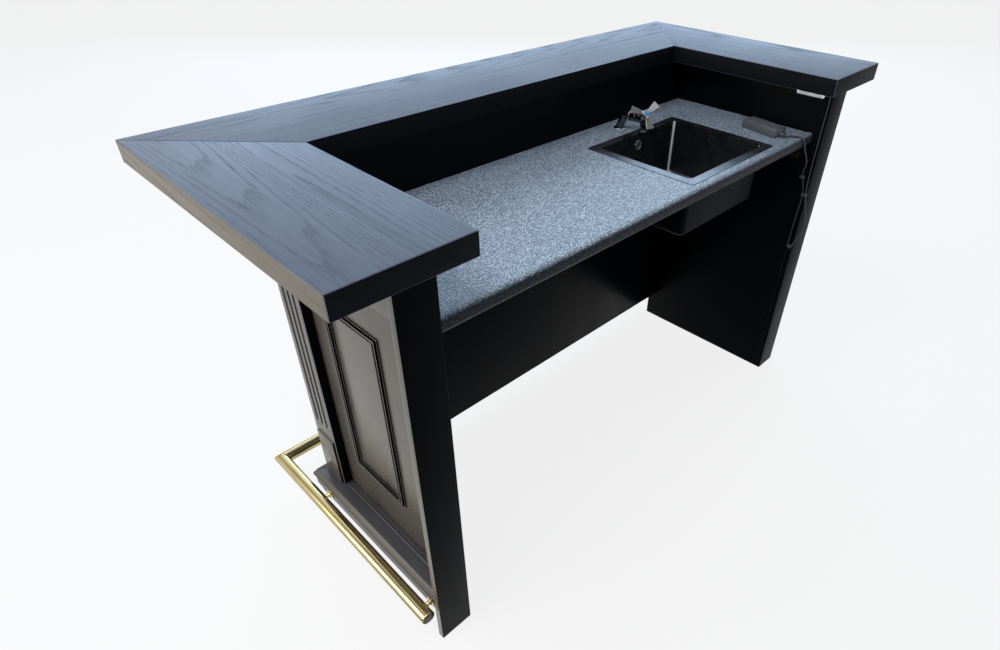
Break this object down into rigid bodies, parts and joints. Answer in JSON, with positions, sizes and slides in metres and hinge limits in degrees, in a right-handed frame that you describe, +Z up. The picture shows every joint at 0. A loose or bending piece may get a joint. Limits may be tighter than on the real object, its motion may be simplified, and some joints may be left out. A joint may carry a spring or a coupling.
{
  "type": "bar counter with sink",
  "caption": "U-shaped black bar counter: mitred wooden bar top, fluted panelled front, brass foot rail, and a lower stone-look worktop with an inset sink and tap inside.",
  "frame": {"origin": "on the floor, under the middle of the counter's overall length and depth", "axes": "+X along the counter to the right hand of someone serving, +Y towards the customers, +Z up"},
  "size_m": [1.9, 0.845, 1.1],
  "materials": {
    "black_oak": "black-stained open-grain hardwood, semi-gloss",
    "black_lacquer": "semi-gloss black lacquer on board",
    "bearer_timber": "dark stained softwood",
    "granite_laminate": "speckled stone-look laminate on chipboard",
    "sink_steel": "dark brushed steel",
    "bright_steel": "polished steel",
    "brass": "polished brass tube",
    "black_chrome": "black chrome",
    "blue_plastic": "blue plastic cap",
    "driver_case": "dark grey moulded case",
    "dark_cable": "dark cable sheath",
    "led_white": "white diffuser"
  },
  "bodies": {
    "counter": {"bar_top_front": "black_oak", "bar_top_left": "black_oak", "bar_top_right": "black_oak", "front_bracket_1": "brass", "front_bracket_2": "brass", "front_bracket_3": "brass", "front_left_bead_frame": "black_lacquer", "front_left_pilaster": "black_lacquer", "front_middle_bead_frame": "black_lacquer", "front_panel": "black_lacquer", "front_plinth_board": "black_lacquer", "front_plinth_cap": "black_lacquer", "front_rail": "brass", "front_right_bead_frame": "black_lacquer", "front_right_pilaster": "black_lacquer", "front_top_bearer": "bearer_timber", "lead_clip_1": "driver_case", "lead_clip_2": "driver_case", "lead_clip_3": "driver_case", "led_bar": "led_white", "led_driver": "driver_case", "led_lead": "dark_cable", "left_bead_frame": "black_lacquer", "left_bracket_1": "brass", "left_bracket_2": "brass", "left_corner_pilaster": "black_lacquer", "left_end_board": "black_lacquer", "left_panel": "black_lacquer", "left_plinth_board": "black_lacquer", "left_plinth_cap": "black_lacquer", "left_rail": "brass", "left_rail_cap": "brass", "left_top_bearer": "bearer_timber", "left_worktop_batten": "bearer_timber", "rear_worktop_batten": "bearer_timber", "right_bead_frame": "black_lacquer", "right_bracket_1": "brass", "right_bracket_2": "brass", "right_corner_pilaster": "black_lacquer", "right_end_board": "black_lacquer", "right_panel": "black_lacquer", "right_plinth_board": "black_lacquer", "right_plinth_cap": "black_lacquer", "right_rail": "brass", "right_rail_cap": "brass", "right_top_bearer": "bearer_timber", "right_worktop_batten": "bearer_timber", "sink_bowl": "sink_steel", "sink_overflow": "bright_steel", "sink_waste": "bright_steel", "tap_back_nut": "bright_steel", "tap_body": "black_chrome", "tap_pillar": "black_chrome", "worktop": "granite_laminate", "worktop_end_trim": "black_lacquer"},
    "tap_handle": {"tap_handle": "black_chrome", "tap_handle_cap": "blue_plastic"},
    "sink_strainer": {"sink_strainer": "bright_steel"}
  },
  "joints": [
    {"name": "tap_turn", "type": "hinge", "parent": "counter", "child": "tap_handle", "pos_m": [0.332, -0.009, 0.966], "axis": [-0.4489, -0.5543, 0.7009], "range_deg": [0, 90]},
    {"name": "strainer_lift", "type": "slide", "parent": "counter", "child": "sink_strainer", "axis": [0, 0, 1], "range_m": [0, 0.06]}
  ]
}
